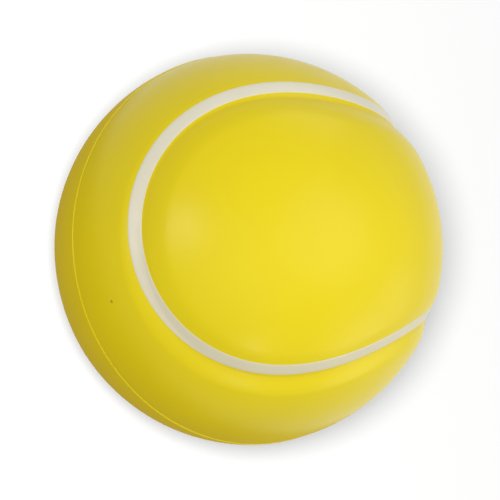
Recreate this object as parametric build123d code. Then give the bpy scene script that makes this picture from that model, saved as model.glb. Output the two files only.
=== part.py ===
from build123d import *
import os
from math import cos, radians, sin, sqrt
from typing import NamedTuple

# Stress ball in the form of a tennis ball: one foam moulding with a white seam line.
#
# The ball is self-skinning polyurethane foam, cast in a mould of two round cavities and
# solid all through. A rib in each cavity leaves the tennis ball's seam as a shallow valley
# with a narrow crease. The white line is printed on afterwards and misses the crease by up
# to 2 mm, so it lies first on one slope of the valley and then on the other. The cavities
# differ a little, so the halves meet in a fine notch with a step.
#
# Frame: origin at the ball's centre, on the mould's parting plane. +Z is the way the mould
# opens, and the ball is squeezed along Z. The seam's twofold axis is X: the panel with a
# round end at each pole has its neck on +X, and the other panel's neck is on -X.
# Lengths are millimetres and angles degrees.

# the two halves: the lower cavity is wider at its rim and shallower at its pole
BALL_R = 31.75  # upper half, from the nominal 63.5 mm ball
RIM_STEP = 0.3  # how far the lower half stands out past the upper one where they meet
LOWER_DEPTH = 30.9  # parting plane to lower pole
UPPER_LIP = 0.1  # worn edge of each half at the parting plane
LOWER_LIP = 0.3

# a seam, seen from the ball's centre, follows
# x = SWING cos 2t,  y = cos t - WAVE cos 3t,  z = sin t + WAVE sin 3t
# and is then turned round X by SKEW
GROOVE_WAVE = 0.5
GROOVE_SWING = 0.945
GROOVE_SKEW = -1.9
LINE_WAVE = 0.465
LINE_SWING = 1.065
LINE_SKEW = -4.1
SEAM_START = 90.0  # t at a bulb's tip, well away from the parting plane
SEAM_POINTS = 40

# the groove's section: a narrow crease, and on each side two slopes up to the ball
GROOVE_DEPTH = 0.75
CREASE_WIDTH = 0.4
KNEE_DEPTH = 0.33  # where the steeper slope ends and the gentler one begins
KNEE_ACROSS = 1.4  # from the middle of the crease, along the ball
EDGE_ACROSS = 4.0  # where the gentler slope meets the ball

# the white line, a layer that follows the groove's slopes
LINE_WIDTH = 2.45
LINE_THICK = 0.3

# the cutters' clearances
CUTTER_OVER = 2.0  # how far they reach above the ball
RUN_OUT = 0.3  # share of the gentler slope that is added past the ball, for a clean cut


class Cavity(NamedTuple):
    """One half of the mould: part of a sphere whose centre is on Z."""

    radius: float
    centre: float  # height of the sphere's centre
    side: int  # +1 above the parting plane, -1 below it
    lip: float


class Seam(NamedTuple):
    """A closed curve round the ball, shaped like a tennis ball's seam."""

    wave: float
    swing: float
    skew: float


GROOVE = Seam(GROOVE_WAVE, GROOVE_SWING, GROOVE_SKEW)
LINE = Seam(LINE_WAVE, LINE_SWING, LINE_SKEW)


def lower_cavity():
    """The sphere that has the lower half's rim and depth."""
    rim = BALL_R + RIM_STEP
    centre = (rim**2 - LOWER_DEPTH**2) / (2 * LOWER_DEPTH)
    return Cavity(centre + LOWER_DEPTH, centre, -1, LOWER_LIP)


def seam_direction(seam, t):
    """The seam's direction from the ball's centre, with t in degrees."""
    x = seam.swing * cos(radians(2 * t))
    y = cos(radians(t)) - seam.wave * cos(radians(3 * t))
    z = sin(radians(t)) + seam.wave * sin(radians(3 * t))
    return Vector(x, y, z).normalized().rotate(Axis.X, seam.skew)


def seam_wire(seam, cavity, scale=1.0):
    """A seam as a closed wire on a cavity, shrunk towards the cavity's centre."""
    centre = Vector(0, 0, cavity.centre)
    points = []
    for i in range(SEAM_POINTS):
        way = seam_direction(seam, SEAM_START + 360 * i / SEAM_POINTS)
        rise = way.Z * cavity.centre
        reach = rise + sqrt(rise**2 + cavity.radius**2 - cavity.centre**2)
        points.append(centre + (way * reach - centre) * scale)
    return Wire([Edge.make_spline(points, periodic=True)])


def along_seam(section, seam, cavity):
    """Sweep a section (x across the seam, y out of the ball) round the whole seam.

    The guide is the seam shrunk to half size, which keeps the section square to the ball.
    """
    path = seam_wire(seam, cavity)
    start, along = path @ 0, path % 0
    out = (start - Vector(0, 0, cavity.centre)).normalized()
    plane = Plane(origin=start, x_dir=out.cross(along), z_dir=along)
    return sweep(plane * section, path=path, binormal=seam_wire(seam, cavity, 0.5))


def on_ball(across, out):
    """The section's point that is so far along the ball from its seam, and so far out."""
    angle = across / BALL_R
    return (BALL_R + out) * sin(angle), (BALL_R + out) * cos(angle) - BALL_R


def groove_profile(rise=0.0):
    """The groove's surface from left to right, or a line that much above it."""
    run_out = (EDGE_ACROSS - KNEE_ACROSS) * RUN_OUT
    right = [
        (CREASE_WIDTH / 2, -GROOVE_DEPTH),
        (KNEE_ACROSS, -KNEE_DEPTH),
        (EDGE_ACROSS + run_out, KNEE_DEPTH * RUN_OUT),
    ]
    left = [(-across, out) for across, out in reversed(right)]
    return [on_ball(across, out + rise) for across, out in left + right]


def groove_section():
    """What a cavity's rib keeps empty."""
    profile = groove_profile()
    above = [(across, CUTTER_OVER) for across, _ in (profile[-1], profile[0])]
    return make_face(Polyline(*profile, *above, close=True))


def layer_section():
    """A layer of paint over the whole groove."""
    top = reversed(groove_profile(LINE_THICK))
    return make_face(Polyline(*groove_profile(), *top, close=True))


def half_space(cavity):
    """Everything on a cavity's side of the parting plane."""
    size = 4 * BALL_R
    return Pos(0, 0, cavity.side * size / 2) * Box(size, size, size)


def foam_half(cavity):
    """One solid half of the ball, with its worn lip and its part of the groove."""
    half = Pos(0, 0, cavity.centre) * Sphere(cavity.radius) & half_space(cavity)
    rim = half.edges().sort_by(SortBy.LENGTH)[-1]
    return chamfer(rim, cavity.lip) - along_seam(groove_section(), GROOVE, cavity)


def seam_line(cavity):
    """The part of the white line that lies in one half."""
    layer = along_seam(layer_section(), GROOVE, cavity) & half_space(cavity)
    band = along_seam(Rectangle(LINE_WIDTH, 2 * CUTTER_OVER), LINE, cavity)
    return layer & (band & half_space(cavity))


def main():
    upper = Cavity(BALL_R, 0.0, 1, UPPER_LIP)
    lower = lower_cavity()
    nodes = {
        "lower_foam": foam_half(lower),
        "upper_foam": foam_half(upper),
        "lower_seam_line": seam_line(lower),
        "upper_seam_line": seam_line(upper),
    }
    os.makedirs("parts", exist_ok=True)
    for name, shape in nodes.items():
        print(f"{name}: {len(shape.solids())} solid, {shape.volume / 1000:.2f} cm3")
        export_step(shape, f"parts/{name}.step")


main()
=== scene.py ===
# %% [markdown]
# # A foam stress ball in the form of a tennis ball
#
# The ball is one soft moulding of polyurethane foam, about as wide as a palm. It is cast
# between two round mould halves, so a fine parting line runs round it where they meet, and a
# raised rib in the mould leaves the curved seam of a tennis ball as a shallow groove. The
# white line is printed on afterwards, and it doesn't quite find the groove.
#
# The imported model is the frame. It holds the real sizes, the two bodies and the joint that
# squeezes the ball. This lesson gives the ball its soft slopes, its line and its finish.

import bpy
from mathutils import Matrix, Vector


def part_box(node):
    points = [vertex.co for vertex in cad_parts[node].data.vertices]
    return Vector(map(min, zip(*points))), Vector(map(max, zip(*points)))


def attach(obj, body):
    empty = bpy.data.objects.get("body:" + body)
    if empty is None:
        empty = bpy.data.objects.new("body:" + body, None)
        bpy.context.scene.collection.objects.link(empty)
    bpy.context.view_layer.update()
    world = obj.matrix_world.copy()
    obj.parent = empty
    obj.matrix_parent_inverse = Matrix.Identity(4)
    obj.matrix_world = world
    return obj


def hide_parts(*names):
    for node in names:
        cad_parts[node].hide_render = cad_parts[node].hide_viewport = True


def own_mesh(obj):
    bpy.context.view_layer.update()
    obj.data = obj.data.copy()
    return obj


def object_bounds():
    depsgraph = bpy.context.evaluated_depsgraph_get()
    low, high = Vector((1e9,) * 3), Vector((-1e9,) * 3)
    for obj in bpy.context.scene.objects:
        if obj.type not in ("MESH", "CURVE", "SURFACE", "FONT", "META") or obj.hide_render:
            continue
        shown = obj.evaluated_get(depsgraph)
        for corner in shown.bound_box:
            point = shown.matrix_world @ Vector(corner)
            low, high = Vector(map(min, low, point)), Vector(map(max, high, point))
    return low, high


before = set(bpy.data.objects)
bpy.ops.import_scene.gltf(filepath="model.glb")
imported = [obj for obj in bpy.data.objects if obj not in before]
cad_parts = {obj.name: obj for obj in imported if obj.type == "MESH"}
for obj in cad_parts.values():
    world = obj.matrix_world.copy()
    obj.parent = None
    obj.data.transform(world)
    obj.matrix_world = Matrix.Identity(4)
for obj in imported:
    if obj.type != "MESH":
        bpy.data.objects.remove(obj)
cad_low, cad_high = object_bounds()
print("CAD box in mm:", [round(v * 1000, 2) for v in cad_high - cad_low])

# %% [markdown]
# ## The two halves
#
# Every length below is in millimetres and becomes metres only when a mesh is made. The two
# mould halves aren't quite the same. The upper one is a true half ball. The lower one is a
# little wider at its rim and a little flatter at its pole, and its rim is more rounded, so a
# fine ledge shows where they meet. A sphere with its centre above the parting plane has just
# that shape, and its radius and centre follow from the rim and the depth.
#
# Both rims are rounded off. A half's `lip` is how far its rounding draws the rim in, and its
# `round` is how far from the parting plane the rounding begins.

# %% Measure the halves from the frame
import math

import bmesh
import bpy
import numpy as np
from mathutils import Matrix, Vector

MM = 0.001
BALL_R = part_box("upper_foam")[1].z / MM
LOWER_DEPTH = -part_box("lower_foam")[0].z / MM
RIM_STEP = 0.15  # how far the lower half stands out past the upper one
LOWER_RIM = BALL_R + RIM_STEP
LOWER_CENTRE = (LOWER_RIM**2 - LOWER_DEPTH**2) / (2 * LOWER_DEPTH)
LOWER_R = LOWER_CENTRE + LOWER_DEPTH
HALVES = {
    "upper": {"radius": BALL_R, "centre": 0.0, "side": 1, "lip": 0.03, "round": 0.1},
    "lower": {"radius": LOWER_R, "centre": LOWER_CENTRE, "side": -1, "lip": RIM_STEP, "round": 0.25},
}
for name, half in HALVES.items():
    print(name, {k: round(v, 3) for k, v in half.items()})


def ball_radius(way, half):
    """How far out the half's sphere is along unit directions, in mm."""
    rise = way[:, 2] * half["centre"]
    return rise + np.sqrt(rise**2 + half["radius"] ** 2 - half["centre"] ** 2)


# %% [markdown]
# ## Two seams, not one
#
# A tennis ball's seam is one closed curve that goes round the ball like the edges of two
# dumb-bells. A short formula of sines and cosines gives it: one number sets how far the
# round ends swell, another how far the necks swing to each side, a third makes the panel
# that holds both poles a little narrower than the other, and a small turn about X puts the
# curve where the mould or the printing pad had it.
#
# The groove and the white line are made by different tools, so each has its own numbers.
# They part by a little over 2 mm in places. The line lies on one slope of the groove at the
# top of the ball and on the other slope a hand's turn further, and that miss is what tells a
# cheap printed ball from a real tennis ball, whose seam fills its groove.

# %% The groove's path and the line's path
GROOVE_PATH = {"wave": 0.478, "swing": 0.98, "narrow": 0.972, "skew": -0.55}
LINE_PATH = {"wave": 0.469, "swing": 1.050, "narrow": 0.990, "skew": -4.1}


def seam_ways(path, t):
    """Unit directions of a seam from the ball's centre, with t in radians."""
    x = path["swing"] * np.cos(2 * t)
    y = path["narrow"] * (np.cos(t) - path["wave"] * np.cos(3 * t))
    z = np.sin(t) + path["wave"] * np.sin(3 * t)
    c, s = math.cos(math.radians(path["skew"])), math.sin(math.radians(path["skew"]))
    ways = np.stack([x, y * c - z * s, y * s + z * c], axis=1)
    return ways / np.linalg.norm(ways, axis=1)[:, None]


def once_round(steps):
    """Even values of t, once round a seam."""
    return np.linspace(0, 2 * math.pi, steps, endpoint=False)


def along_seam(ways):
    """Unit directions in which a closed seam runs on, at each of its points."""
    along = np.roll(ways, -1, axis=0) - np.roll(ways, 1, axis=0)
    return along / np.linalg.norm(along, axis=1)[:, None]


# %% [markdown]
# Much below asks how far a point of the ball is from the groove. The crease is kept as many
# short steps. A point's nearest step is found first, and then its distance square to that
# step, which is smooth even where the steps themselves would show.

# %% Distance from the crease
CREASE = seam_ways(GROOVE_PATH, once_round(900))
CREASE_ALONG = along_seam(CREASE)
AT_ONCE = 8000  # points in one round of the search, so that its table stays small


def from_crease(way):
    """Distance of unit directions from the groove's crease, in mm along the ball.

    It is positive on the side of the panel that holds both poles.
    """
    off = np.empty(len(way))
    for first in range(0, len(way), AT_ONCE):
        part = way[first : first + AT_ONCE]
        near = (part @ CREASE.T).argmax(axis=1)
        step = part - CREASE[near]
        along = (step * CREASE_ALONG[near]).sum(axis=1)
        across = (step * np.cross(CREASE[near], CREASE_ALONG[near])).sum(axis=1)
        flat = np.linalg.norm(step - along[:, None] * CREASE_ALONG[near], axis=1)
        off[first : first + AT_ONCE] = 2 * np.arcsin(flat / 2) * np.sign(across) * BALL_R
    return off


line_off = from_crease(seam_ways(LINE_PATH, once_round(360)))
crease_length = np.linalg.norm(np.diff(CREASE, axis=0), axis=1).sum() * BALL_R
print("groove length in mm:", round(float(crease_length)))
print("the line misses the crease by up to", round(float(np.abs(line_off).max()), 2), "mm")

# %% [markdown]
# ## The groove's section
#
# Foam skin rolls gently into a moulded groove, so the section has no edge at the top. It
# falls slowly at first and steepens towards a narrow crease. A cutter swept along the seam
# and a boolean would leave hard edges that foam doesn't have. So the groove is a depth that
# depends on the distance from the crease, and a power of that distance gives its shape with
# one number. The slope on the poles' panel is the wider of the two.

# %% How deep the groove is
GROOVE_DEPTH = 0.75
POLE_SLOPE, NECK_SLOPE = 5.0, 3.4
SLOPE_POWER = 1.6
CREASE_ROUND = 0.45


def groove_depth(off, crease_round=CREASE_ROUND):
    """Depth of the groove at a distance from its crease, both in mm."""
    across = np.sqrt(off**2 + crease_round**2)
    share = (across - CREASE_ROUND) / np.where(off > 0, POLE_SLOPE, NECK_SLOPE)
    return GROOVE_DEPTH * np.clip(1 - share, 0, 1) ** SLOPE_POWER


for off in (0.0, 0.5, 1.0, 2.0, 3.0):
    print(f"{off} mm from the crease it is {float(groove_depth(np.array([off]))[0]):.2f} mm deep")


def mould_wall(way, half, crease_round=CREASE_ROUND):
    """Distance of the mould's wall from the centre along unit directions, in mm."""
    out = ball_radius(way, half)
    up = np.clip(1 - np.abs(way[:, 2] * out) / half["round"], 0, 1)
    lip = half["lip"] * (1 - np.sqrt(1 - up**2))
    return out - groove_depth(from_crease(way), crease_round) - lip


# %% [markdown]
# ## The foam halves
#
# A ball of latitude and longitude lines pinches at its poles, and the light would show it.
# A cube whose sides are cut into squares and then blown up to a ball has no poles, so each
# half starts as that. Its faces in the groove are cut finer, and those beside the crease
# finer again, so that points are spent only where the form turns fast. A few cuts beside the
# parting plane hold the rounded lip. Every vertex then moves straight in or out, to where
# the mould's wall was.

# %% Blow up a cube to a ball
CELLS = 92  # squares along each side of the cube
FINE_BANDS = (4.8, 1.5)  # distances from the crease within which faces are cut once more
SHORT_EDGE = 0.15  # edges this short aren't cut again
LIP_CUTS = (0.015, 0.06, 0.14, 0.27, 0.45, 0.7, 1.0, 1.6)  # shares of the rounding's height


def ball_from_cube():
    """A unit ball with even faces."""
    bm = bmesh.new()
    bmesh.ops.create_cube(bm, size=2.0)
    bmesh.ops.subdivide_edges(bm, edges=bm.edges[:], cuts=CELLS - 1, use_grid_fill=True)
    for v in bm.verts:
        v.co = Vector([math.tan(c * math.pi / 4) for c in v.co]).normalized()
    return bm


def cut_level(bm, half, height, dist=1e-7, drop=False):
    """Cuts level with the parting plane, this far into the half, and may drop what is before."""
    geom = bm.verts[:] + bm.edges[:] + bm.faces[:]
    spot, normal = (0, 0, half["side"] * height), (0, 0, half["side"])
    bmesh.ops.bisect_plane(
        bm, geom=geom, dist=dist, plane_co=spot, plane_no=normal, clear_inner=drop
    )


def refine_groove(bm, band):
    """Cuts each face that is this near to the crease into two by two."""
    off = from_crease(np.array([f.calc_center_median().normalized() for f in bm.faces]))
    near = [f for f, o in zip(bm.faces, off) if abs(o) < band]
    edges = list({e for f in near for e in f.edges if e.calc_length() * BALL_R > SHORT_EDGE})
    bmesh.ops.subdivide_edges(bm, edges=edges, cuts=1, use_grid_fill=True)
    for v in bm.verts:
        v.co.normalize()


def new_object(name, bm):
    """A finished mesh as an object in the scene."""
    mesh = bpy.data.meshes.new(name)
    bm.to_mesh(mesh)
    bm.free()
    made = bpy.data.objects.new(name, mesh)
    bpy.context.scene.collection.objects.link(made)
    return made


# %% [markdown]
# The inside of the ball is never seen, but each half is still a closed body with a flat
# face at the parting plane, because the squeeze presses one into the other. How deep each
# point lies in the groove is kept with the mesh, and the finish uses it later for painted
# shade in the crease.

# %% Shape the halves
def make_half(name):
    """One half of the ball, closed at the parting plane."""
    half = HALVES[name]
    bm = ball_from_cube()
    cut_level(bm, half, 0, drop=True)
    for share in LIP_CUTS:
        cut_level(bm, half, share * half["round"] / BALL_R)
    for band in FINE_BANDS:
        refine_groove(bm, band)
    bmesh.ops.triangulate(bm, faces=[f for f in bm.faces if len(f.verts) > 4])
    rim = [e for e in bm.edges if e.is_boundary]
    cap = bmesh.ops.contextual_create(bm, geom=rim)["faces"]
    for f in bm.faces:
        f.smooth = True
    for f in cap:
        f.smooth = False
    bmesh.ops.recalc_face_normals(bm, faces=bm.faces[:])
    way = np.array([v.co for v in bm.verts])
    way /= np.linalg.norm(way, axis=1)[:, None]
    spot = way * mould_wall(way, half)[:, None] * MM
    for v, p in zip(bm.verts, spot):
        v.co = p
    skin = new_object(name + "_skin", bm)
    crease = skin.data.attributes.new("crease", "FLOAT", "POINT")
    crease.data.foreach_set("value", groove_depth(from_crease(way)) / GROOVE_DEPTH)
    triangles = sum(len(p.vertices) - 2 for p in skin.data.polygons)
    print(name, "skin:", len(skin.data.vertices), "vertices,", triangles, "triangles")
    return skin


upper_skin = make_half("upper")
lower_skin = make_half("lower")

# %% [markdown]
# ## The white line
#
# The line is one coat of thick paint. A soft pad lays it down, so it follows the slopes, and
# where it crosses the crease it fills the bottom and leaves only a shallow dip. A curve with
# a flat bevel would stay stiff across those slopes. Instead, the section is pushed along the
# line's own path ring by ring, and each of its points finds its own height. Those on top
# stand a coat's thickness above the foam, with quick round shoulders at both edges, and the
# under side is sunk into the foam.

# %% The line's rings
LINE_WIDTH, LINE_THICK, LINE_SINK = 2.35, 0.05, 0.35
PAINT_ROUND = 0.7  # the groove's crease as the paint fills it
SHOULDER_POWER = 7  # the higher, the quicker the coat falls at its edges
ACROSS = 27  # points across the top
UNDER_SIDE = [0.97, 0.0, -0.97]  # points of the under side, as shares of half the width
STEPS = 1200  # rings along the line


def line_points(half):
    """All the rings of the line, in metres, as an array of steps by points."""
    out = seam_ways(LINE_PATH, once_round(STEPS))
    side = np.cross(along_seam(out), out)
    u = np.sin(np.linspace(-1, 1, ACROSS) * math.pi / 2)
    rise = LINE_THICK * (1 - np.abs(u) ** SHOULDER_POWER)
    u = np.concatenate([u, UNDER_SIDE])
    rise = np.concatenate([rise, [-LINE_SINK] * len(UNDER_SIDE)])
    angle = (u * LINE_WIDTH / 2 / BALL_R)[None, :, None]
    ways = out[:, None, :] * np.cos(angle) + side[:, None, :] * np.sin(angle)
    flat = ways.reshape(-1, 3)
    reach = mould_wall(flat, half, PAINT_ROUND) + np.tile(rise, STEPS)
    return (flat * reach[:, None] * MM).reshape(STEPS, len(u), 3)


# %% [markdown]
# An edge ring is extruded once for every step and moved to the next ring's points. The last
# step meets the first, and merging them closes the loop. The line is then cut at the parting
# plane and its ends are filled, because each half of it has to move with its own foam half.

# %% Push the section along its path
def make_line(name):
    """The part of the white line that lies on one half."""
    half = HALVES[name]
    rings = line_points(half)
    bm = bmesh.new()
    first = [bm.verts.new(p) for p in rings[0]]
    edges = [bm.edges.new((a, b)) for a, b in zip(first, first[1:] + first[:1])]
    for i in range(1, STEPS + 1):
        made = bmesh.ops.extrude_edge_only(bm, edges=edges)["geom"]
        verts = [g for g in made if isinstance(g, bmesh.types.BMVert)]
        edges = [g for g in made if isinstance(g, bmesh.types.BMEdge)]
        for v, p in zip(verts, rings[i % STEPS]):
            v.co = p
    bmesh.ops.remove_doubles(bm, verts=bm.verts[:], dist=1e-7)
    cut_level(bm, half, 0, dist=1e-8, drop=True)
    bmesh.ops.holes_fill(bm, edges=[e for e in bm.edges if e.is_boundary])
    bmesh.ops.recalc_face_normals(bm, faces=bm.faces[:])
    for f in bm.faces:
        f.smooth = len(f.verts) <= 4
    line = new_object(name + "_line", bm)
    print(name, "line:", len(line.data.vertices), "vertices")
    return line


upper_line = make_line("upper")
lower_line = make_line("lower")

# %% [markdown]
# ## Helpers for the finishes
#
# Foam and paint are both plain dielectrics, so each is one principled shader. Settings that
# are the same all over go straight on its sockets. Only what varies over the ball is a
# texture, and every texture reads Object coordinates, so a pattern stays on its spot of foam
# while the ball is squeezed.

# %% Small tools for node trees
def add(tree, kind, **values):
    """A new shader node with the named inputs set."""
    made = tree.nodes.new(kind)
    for socket, value in values.items():
        made.inputs[socket.replace("_", " ")].default_value = value
    return made


def new_material(name):
    """An empty material, its tree, and the socket that its surface goes into."""
    material = bpy.data.materials.new(name)
    material.use_nodes = True
    tree = material.node_tree
    tree.nodes.clear()
    return material, tree, add(tree, "ShaderNodeOutputMaterial").inputs["Surface"]


def object_place(tree):
    """A point's place on the object at rest, as one vector and as X, Y and Z."""
    place = add(tree, "ShaderNodeTexCoord").outputs["Object"]
    parts = add(tree, "ShaderNodeSeparateXYZ")
    tree.links.new(place, parts.inputs["Vector"])
    return place, parts.outputs


def maths(tree, operation, value, other=None):
    """The result of a sum on one value, or on two."""
    made = tree.nodes.new("ShaderNodeMath")
    made.operation = operation
    for socket, source in zip(made.inputs, (value, other)):
        if source is not None:
            tree.links.new(source, socket)
    return made.outputs["Value"]


def spread(tree, value, start, end, first=0.0, last=1.0):
    """A value spread out so that start becomes first and end becomes last."""
    span = add(tree, "ShaderNodeMapRange", From_Min=start, From_Max=end, To_Min=first, To_Max=last)
    tree.links.new(value, span.inputs["Value"])
    return span.outputs["Result"]


def clouds(tree, place, scale, detail):
    """A soft noise over the object."""
    noise = add(tree, "ShaderNodeTexNoise", Scale=scale, Detail=detail)
    tree.links.new(place, noise.inputs["Vector"])
    return noise.outputs["Fac"]


def mixed(tree, blend, share, colour, other):
    """A colour blended with a fixed other one, as far as a share says."""
    mix = tree.nodes.new("ShaderNodeMix")
    mix.data_type, mix.blend_type = "RGBA", blend
    sockets = {s.identifier: s for s in mix.inputs}
    sockets["B_Color"].default_value = (*other, 1)
    tree.links.new(share, sockets["Factor_Float"])
    tree.links.new(colour, sockets["A_Color"])
    return next(s for s in mix.outputs if s.identifier == "Result_Color")


CLOUD_SPAN = (0.3, 0.7)  # nearly all of a noise lies between these


def uneven_tint(tree, place, scale, dark, light):
    """A colour that drifts between two tints."""
    tint = add(tree, "ShaderNodeValToRGB")
    for stop, position, colour in zip(tint.color_ramp.elements, CLOUD_SPAN, (dark, light)):
        stop.position, stop.color = position, (*colour, 1)
    tree.links.new(clouds(tree, place, scale, 4.0), tint.inputs["Fac"])
    return tint.outputs["Color"]


def uneven_sheen(tree, place, scale, low, high):
    """Roughness that drifts between two values."""
    return spread(tree, clouds(tree, place, scale, 2.0), *CLOUD_SPAN, low, high)


# %% [markdown]
# ## The foam's colour and sheen
#
# The skin of this foam forms against the mould, so it is smooth and closed, with a satin
# shine that turns pale where the light grazes it. It is dyed through, a full warm yellow.
# The dye is a touch uneven, and down in the crease the colour is painted darker as shade,
# as far as the mesh says how deep it is. The mould closes tight along the rim, and the skin
# there is pressed smoother and catches the light.

# %% Yellow foam skin
DYE_DARK, DYE_LIGHT = (0.780, 0.622, 0.005), (0.805, 0.647, 0.006)
# Painted shade: this tint darkens the colour down in the groove's crease.
CREASE_SHADE = (0.97, 0.95, 0.88)
RIM_SHEEN = 0.45  # share of the roughness that is left at the rim

foam, tree, surface = new_material("yellow_foam_skin")
shader = add(tree, "ShaderNodeBsdfPrincipled", Roughness=0.40, Specular_IOR_Level=0.22)
tree.links.new(shader.outputs["BSDF"], surface)
place, axes = object_place(tree)
dye_and_shade = uneven_tint(tree, place, 60.0, DYE_DARK, DYE_LIGHT)
crease = add(tree, "ShaderNodeAttribute")
crease.attribute_name = "crease"
# Painted shade: the colour is darkened towards the bottom of the crease, by the depth kept on the
# mesh.
dye_and_shade = mixed(tree, "MULTIPLY", spread(tree, crease.outputs["Fac"], 0.6, 1.0), dye_and_shade, CREASE_SHADE)

from_rim = spread(tree, maths(tree, "ABSOLUTE", axes["Z"]), 0.2 * MM, 0.5 * MM, RIM_SHEEN, 1.0)
sheen = uneven_sheen(tree, place, 300.0, 0.30, 0.35)
tree.links.new(maths(tree, "MULTIPLY", sheen, from_rim), shader.inputs["Roughness"])
print("foam shader:", len(tree.nodes), "nodes")

# %% [markdown]
# ## A pinhole and the grain
#
# Here and there a small bubble broke at the skin and left a pinhole. Cutting it into the mesh
# would take hundreds of faces, so the hole's shade is painted as a dark dot, which is enough
# for a hole so small. Its place is a direction from the ball's centre.
#
# The grain of the skin is too fine to be seen pore by pore. A weak bump breaks the light up
# just enough that the ball doesn't look like glazed plastic.

# %% Pinhole and grain
PINHOLE_AT = Vector((-0.952, -0.1877, 0.2417)) * BALL_R * MM
PINHOLE_R = 0.33 * MM
# Painted shade: this dark dot stands for the shade inside the pinhole.
PINHOLE_SHADE = (0.42, 0.31, 0.008)

away = add(tree, "ShaderNodeVectorMath")
away.operation = "DISTANCE"
away.inputs[1].default_value = PINHOLE_AT
tree.links.new(place, away.inputs[0])
in_hole = spread(tree, away.outputs["Value"], PINHOLE_R * 0.5, PINHOLE_R, 1.0, 0.0)
# Painted shade: the dot darkens the colour where the pinhole is.
dye_and_shade = mixed(tree, "MIX", in_hole, dye_and_shade, PINHOLE_SHADE)
tree.links.new(dye_and_shade, shader.inputs["Base Color"])

bump = add(tree, "ShaderNodeBump", Strength=0.06, Distance=0.2 * MM)
tree.links.new(clouds(tree, place, 1400.0, 3.0), bump.inputs["Height"])
tree.links.new(bump.outputs["Normal"], shader.inputs["Normal"])
print("pinhole at, in mm:", [round(v / MM, 1) for v in PINHOLE_AT])

# %% [markdown]
# ## The line's finish
#
# The paint is an elastic white that can stretch with the foam. It is a little warm and has
# the faintest clouding. Towards -Y the white is made darker and yellower.

# %% White line paint
PAINT_DARK, PAINT_LIGHT = (0.74, 0.70, 0.555), (0.76, 0.72, 0.575)
# This tint makes the white darker and yellower towards -Y.
MINUS_Y_TINT = (0.94, 0.915, 0.81)

paint, tree, surface = new_material("white_line_paint")
shader = add(tree, "ShaderNodeBsdfPrincipled", Roughness=0.38, Specular_IOR_Level=0.4)
tree.links.new(shader.outputs["BSDF"], surface)
place, axes = object_place(tree)
white = uneven_tint(tree, place, 220.0, PAINT_DARK, PAINT_LIGHT)
white = mixed(tree, "MULTIPLY", spread(tree, axes["Y"], 20 * MM, -20 * MM), white, MINUS_Y_TINT)
tree.links.new(white, shader.inputs["Base Color"])
tree.links.new(uneven_sheen(tree, place, 500.0, 0.33, 0.42), shader.inputs["Roughness"])

for piece in (upper_skin, lower_skin):
    piece.data.materials.append(foam)
for piece in (upper_line, lower_line):
    piece.data.materials.append(paint)
print("paint shader:", len(tree.nodes), "nodes")

# %% [markdown]
# ## The squeeze
# In the hand the ball is pressed flat and springs back. The frame's one joint brings the
# poles together. Nothing is animated here: each piece is told which body it rides, and the
# frame's own piece for it is hidden. Nothing is animated here: each piece is
# told which body it rides, where its pole is and how much of its height a full squeeze keeps.

# %% Ride and replace
for name, body, pole in (("upper", "finger_half", cad_high.z), ("lower", "palm_half", cad_low.z)):
    skin, line = (upper_skin, upper_line) if name == "upper" else (lower_skin, lower_line)
    worn = ((skin, name + "_foam", "yellow_foam"), (line, name + "_seam_line", "white_line"))
    for piece, node, slot in worn:
        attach(piece, body)
        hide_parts(node)
        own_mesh(piece)

# %% [markdown]
# ## Floor
#
# The ball rests on a sheet of pale paper. To the camera, and in reflections, the sheet is
# almost white and keeps only the ball's contact shadow. To all other light it is a darker
# sheet, so that it doesn't flood the underside of the ball.

# %% The paper sheet
def seen_ray(tree):
    """1 for rays from the camera and for those that mirror or glass sends on, else 0."""
    ray = add(tree, "ShaderNodeLightPath").outputs
    mirror_or_camera = maths(tree, "MAXIMUM", ray["Is Camera Ray"], ray["Is Glossy Ray"])
    return maths(tree, "MAXIMUM", mirror_or_camera, ray["Is Transmission Ray"])


bm = bmesh.new()
bmesh.ops.create_grid(bm, x_segments=2, y_segments=2, size=3.0)
bmesh.ops.translate(bm, verts=bm.verts[:], vec=(0, 0, cad_low.z))
floor = new_object("floor", bm)

paper, tree, surface = new_material("floor_paper")
sheet = add(tree, "ShaderNodeBsdfDiffuse", Color=(0.235, 0.235, 0.235, 1))
glow = add(tree, "ShaderNodeEmission", Strength=0.13)
seen = add(tree, "ShaderNodeAddShader")
bounce = add(tree, "ShaderNodeBsdfDiffuse", Color=(0.045, 0.040, 0.029, 1))
pick = add(tree, "ShaderNodeMixShader")
tree.links.new(sheet.outputs["BSDF"], seen.inputs[0])
tree.links.new(glow.outputs["Emission"], seen.inputs[1])
tree.links.new(seen_ray(tree), pick.inputs["Fac"])
tree.links.new(bounce.outputs["BSDF"], pick.inputs[1])
tree.links.new(seen.outputs["Shader"], pick.inputs[2])
tree.links.new(pick.outputs["Shader"], surface)
floor.data.materials.append(paper)
print("floor at", round(cad_low.z / MM, 2), "mm")

# %% [markdown]
# A sheet this bright would mirror itself in the ball's lower left side and wash its yellow
# out. So a warm glowing card lies under the ball, a little to the left of the camera's view,
# and only the ball's shine sees it. It is a painted reflection that keeps the colour full.

# %% The painted reflection card
CARD_R = 65 * MM
CARD_AT = (-25 * MM, -20 * MM)
ABOVE_FLOOR = 0.2 * MM

bm = bmesh.new()
bmesh.ops.create_circle(bm, cap_ends=True, radius=CARD_R, segments=64)
bmesh.ops.translate(bm, verts=bm.verts[:], vec=(*CARD_AT, cad_low.z + ABOVE_FLOOR))
card = new_object("painted_reflection_card", bm)

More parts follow.
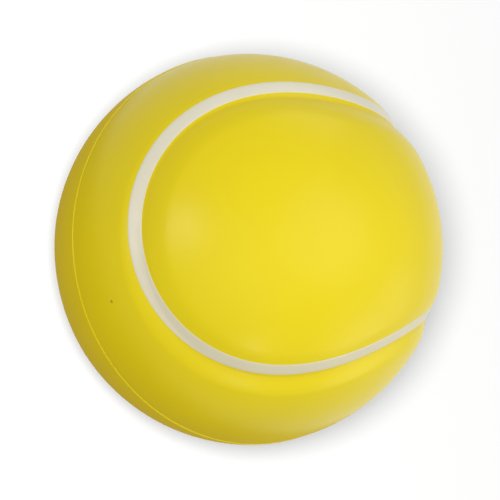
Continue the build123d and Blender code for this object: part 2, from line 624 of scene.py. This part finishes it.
# Painted reflection: the card glows, it is no lamp, and only the ball's shine sees it.
gold, tree, surface = new_material("painted_reflection_glow")
face = add(tree, "ShaderNodeEmission", Color=(0.60, 0.38, 0.12, 1), Strength=1.0)
tree.links.new(face.outputs["Emission"], surface)
gold.cycles.emission_sampling = "NONE"
card.data.materials.append(gold)
card.visible_camera = False
card.visible_diffuse = False
card.visible_shadow = False
card.visible_transmission = False
print("gold card of", round(2 * CARD_R / MM), "mm")

# %% [markdown]
# ## Camera
#
# The camera looks down at the ball from 60 degrees above the parting plane, so the upper
# half fills most of the view and the parting line passes low on the left. It stands ten ball
# widths away with a long lens. The three rows are its directions right, up and back.

# %% Camera
VIEW = Matrix(((0.85977, -0.146, 0.48937), (0.1055, 0.98837, 0.10954), (-0.49967, -0.04255, 0.86517)))
FROM_VIEW = VIEW.transposed()

camera = bpy.data.objects.new("camera", bpy.data.cameras.new("camera"))
bpy.context.scene.collection.objects.link(camera)
camera.data.sensor_width = 36
camera.data.lens = 272.6
camera.data.clip_start, camera.data.clip_end = 0.01, 20
camera.matrix_world = FROM_VIEW.to_4x4()
camera.location = FROM_VIEW @ Vector((0.00039, -0.00015, 0.6166))
bpy.context.scene.camera = camera
print("camera at, in mm:", [round(v / MM) for v in camera.location])

# %% [markdown]
# ## Light
#
# A soft studio: white walls all round give most of the light, and round soft boxes add a
# gentle highlight on each side of the ball. Their directions are given as the camera sees
# them. The floor has its own lamp from above, so its shadow can be set without changing how
# the ball is lit.

# %% Soft boxes
def lit_only(name, *pieces):
    """A collection of the only pieces that a lamp lights."""
    lit = bpy.data.collections.new(name)
    for piece in pieces:
        lit.objects.link(piece)
    return lit


def soft_box(name, toward, edge, radiance, receivers, distance=1.0):
    """A round lamp in a direction as the camera sees it, this many degrees to its edge."""
    radius = distance * math.tan(math.radians(edge))
    data = bpy.data.lights.new(name, "AREA")
    data.shape, data.size = "DISK", 2 * radius
    data.energy = radiance * math.pi * math.pi * radius**2
    lamp = bpy.data.objects.new(name, data)
    bpy.context.scene.collection.objects.link(lamp)
    way = (FROM_VIEW @ Vector(toward)).normalized()
    lamp.location = way * distance
    lamp.rotation_mode = "QUATERNION"
    lamp.rotation_quaternion = way.to_track_quat("Z", "Y")
    lamp.light_linking.receiver_collection = receivers


SOFT_BOXES = {  # direction, degrees from the middle to the edge, radiance
    "key_box": ((0.74, 0.13, 0.66), 26, 1.65),
    "left_box": ((-0.60, 0.20, 0.77), 12.5, 5.0),
    "front_box": ((-0.05, -0.20, 0.98), 30, 0.58),
    "top_box": ((0.40, 0.91, -0.10), 15, 1.1),
    "right_box": ((0.90, -0.37, -0.22), 15, 1.1),
    "low_box": ((0.05, -0.84, 0.49), 4, 13.0),
    "side_box": ((0.74, -0.66, 0.0), 14, 2.0),
}
only_ball = lit_only("lit_by_soft_boxes", upper_skin, lower_skin, upper_line, lower_line)
only_floor = lit_only("lit_by_floor_lamp", floor)
for name, (toward, edge, radiance) in SOFT_BOXES.items():
    soft_box(name, toward, edge, radiance, only_ball)
soft_box("floor_lamp", (-0.012, 0.012, 1.0), 6.5, 327.0, only_floor)
print(len(SOFT_BOXES), "soft boxes and one floor lamp")

# %% [markdown]
# The walls are white to the eye. As a light they are half as strong, which leaves the soft
# boxes room to shape the ball without making its pale side too bright.

# %% White walls
WALL_LIGHT, WALL_SEEN = 0.50, 1.0

world = bpy.data.worlds.new("studio")
bpy.context.scene.world = world
world.use_nodes = True
tree = world.node_tree
walls = tree.nodes["Background"]
walls.inputs["Color"].default_value = (1, 1, 1, 1)
level = spread(tree, seen_ray(tree), 0.0, 1.0, WALL_LIGHT, WALL_SEEN)
tree.links.new(level, walls.inputs["Strength"])
bpy.context.scene.view_settings.view_transform = "Standard"
print("walls light at", WALL_LIGHT, "and are seen at", WALL_SEEN)
